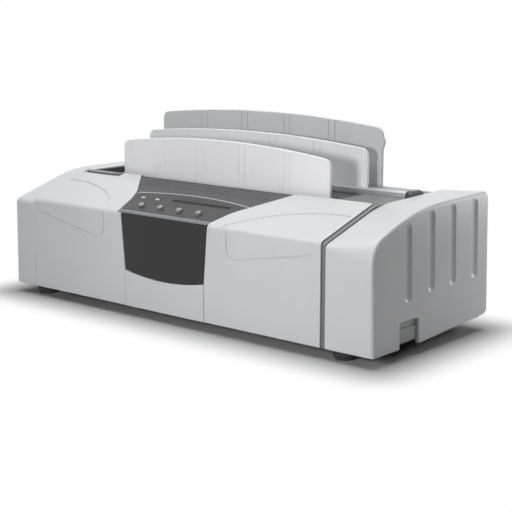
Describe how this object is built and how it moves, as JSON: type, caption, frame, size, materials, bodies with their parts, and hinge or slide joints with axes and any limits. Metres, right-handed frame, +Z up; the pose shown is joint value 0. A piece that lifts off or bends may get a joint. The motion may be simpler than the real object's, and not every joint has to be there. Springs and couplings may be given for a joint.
{
  "type": "thermal binding machine",
  "caption": "Desktop thermal binding machine with a sloping control console, a heated binding channel, a sliding clamp paddle and a two-paddle cooling rack.",
  "frame": {"origin": "on the table, under the middle of the housing's width and depth", "axes": "+X to the operator's right along the binding channel, +Y from the control panel to the rear, +Z up"},
  "size_m": [0.51, 0.204, 0.213],
  "materials": {
    "housing_plastic": "fine-textured moulded silver-grey ABS",
    "chassis_plastic": "mid-grey moulded ABS, satin",
    "fascia_plastic": "dark grey gloss ABS",
    "trim_plastic": "mid-light grey moulded ABS",
    "console_plastic": "dark grey textured ABS",
    "panel_plastic": "dark grey printed polyester overlay, satin",
    "paddle_plastic": "silver-grey moulded ABS, satin",
    "rail_aluminium": "extruded, fine-brushed and clear anodised",
    "base_steel": "dark grey powder coat",
    "bracket_steel": "zinc-plated pressed sheet",
    "channel_steel": "rolled sheet, heat-dulled",
    "plate_aluminium": "machined heater plate",
    "heater_sheath": "oxidised tubular heater sheath",
    "insulation_board": "pressed mica insulation",
    "zinc_steel": "bright zinc-plated fasteners",
    "bright_steel": "ground and polished shaft steel",
    "motor_steel": "drawn steel can",
    "transformer_iron": "lacquered laminations and wound coil",
    "bush_brass": "turned bronze and brass",
    "gear_brass": "hobbed brass",
    "gear_acetal": "natural acetal",
    "carriage_nylon": "natural glass-filled nylon",
    "circuit_board": "green solder mask",
    "board_parts": "black moulded components",
    "display_body": "dark display block",
    "window_acrylic": "smoked acrylic",
    "lamp_lens": "diffusing lens",
    "button_plastic": "silver-grey domed key",
    "black_plastic": "black glass-filled nylon",
    "rocker_plastic": "black gloss key",
    "fan_plastic": "black PBT",
    "foot_rubber": "black moulded rubber",
    "cable_silicone": "silicone-covered lead",
    "cable_red": "PVC-covered lead"
  },
  "bodies": {
    "housing": {"base_plate": "base_steel", "rubber_feet": "foot_rubber", "foot_screws": "zinc_steel", "chassis_shell": "chassis_plastic", "left_front_cover": "housing_plastic", "right_front_cover": "housing_plastic", "centre_front_panel": "housing_plastic", "front_fascia": "fascia_plastic", "console_trim": "trim_plastic", "console_deck": "console_plastic", "control_panel": "panel_plastic", "left_end_cap": "housing_plastic", "right_end_cap": "housing_plastic", "side_port_plate": "trim_plastic", "rear_cover": "housing_plastic", "rear_screws": "zinc_steel", "rack_rail": "rail_aluminium", "middle_paddle": "paddle_plastic", "rear_paddle": "paddle_plastic", "paddle_brackets": "bracket_steel", "channel_trough": "channel_steel", "heating_plate": "plate_aluminium", "heater_rods": "heater_sheath", "heater_tray": "insulation_board", "thermostat": "zinc_steel", "left_guide_bracket": "bracket_steel", "right_guide_bracket": "bracket_steel", "guide_rods": "bright_steel", "shaft_bushes": "bush_brass", "gear_motor": "motor_steel", "control_board": "circuit_board", "board_posts": "bush_brass", "button_switches": "black_plastic", "display_module": "display_body", "display_window": "window_acrylic", "indicator_lamps": "lamp_lens", "sensor_tray": "black_plastic", "power_board": "circuit_board", "power_board_parts": "board_parts", "transformer": "transformer_iron", "power_inlet": "black_plastic", "rocker_housing": "black_plastic", "fan_frame": "black_plastic", "limit_switches": "black_plastic", "heater_cable": "cable_silicone", "motor_cable": "cable_red"},
    "clamp": {"front_paddle": "paddle_plastic", "left_carriage": "carriage_nylon", "right_carriage": "carriage_nylon", "carriage_screws": "zinc_steel"},
    "drive_shaft": {"cross_shaft": "bright_steel", "rack_pinions": "gear_acetal", "shaft_wheel": "gear_acetal"},
    "motor_gear": {"motor_pinion": "gear_brass"},
    "start_key": {"start_button": "button_plastic"},
    "stop_key": {"stop_button": "button_plastic"},
    "less_key": {"less_button": "button_plastic"},
    "more_key": {"more_button": "button_plastic"},
    "rocker": {"rocker_key": "rocker_plastic"},
    "fan": {"fan_rotor": "fan_plastic"}
  },
  "joints": [
    {"name": "clamp_slide", "type": "slide", "parent": "housing", "child": "clamp", "axis": [0, 1, 0], "range_m": [0, 0.045]},
    {"name": "shaft_spin", "type": "hinge", "parent": "housing", "child": "drive_shaft", "pos_m": [-0.014, 0.01, 0.077], "axis": [-1, 0, 0], "range_deg": [0, 322.5]},
    {"name": "motor_spin", "type": "hinge", "parent": "housing", "child": "motor_gear", "pos_m": [-0.2, -0.0124, 0.0602], "axis": [1, 0, 0], "range_deg": [0, 806]},
    {"name": "start_button_press", "type": "slide", "parent": "housing", "child": "start_key", "axis": [0, 0.3057, -0.9521], "range_m": [0, 0.001], "stiffness_N_per_m": 600},
    {"name": "stop_button_press", "type": "slide", "parent": "housing", "child": "stop_key", "axis": [0, 0.3057, -0.9521], "range_m": [0, 0.001], "stiffness_N_per_m": 600},
    {"name": "less_button_press", "type": "slide", "parent": "housing", "child": "less_key", "axis": [0, 0.3057, -0.9521], "range_m": [0, 0.001], "stiffness_N_per_m": 600},
    {"name": "more_button_press", "type": "slide", "parent": "housing", "child": "more_key", "axis": [0, 0.3057, -0.9521], "range_m": [0, 0.001], "stiffness_N_per_m": 600},
    {"name": "rocker_hinge", "type": "hinge", "parent": "housing", "child": "rocker", "pos_m": [-0.092, 0.096, 0.056], "axis": [1, 0, 0], "range_deg": [0, 16]},
    {"name": "fan_spin", "type": "hinge", "parent": "housing", "child": "fan", "pos_m": [0.11, 0.087, 0.073], "axis": [0, 1, 0], "continuous": true}
  ],
  "couplings": [
    {"joint": "shaft_spin", "follows": "clamp_slide", "rad_per_m": 125},
    {"joint": "motor_spin", "follows": "clamp_slide", "rad_per_m": 312.5}
  ]
}
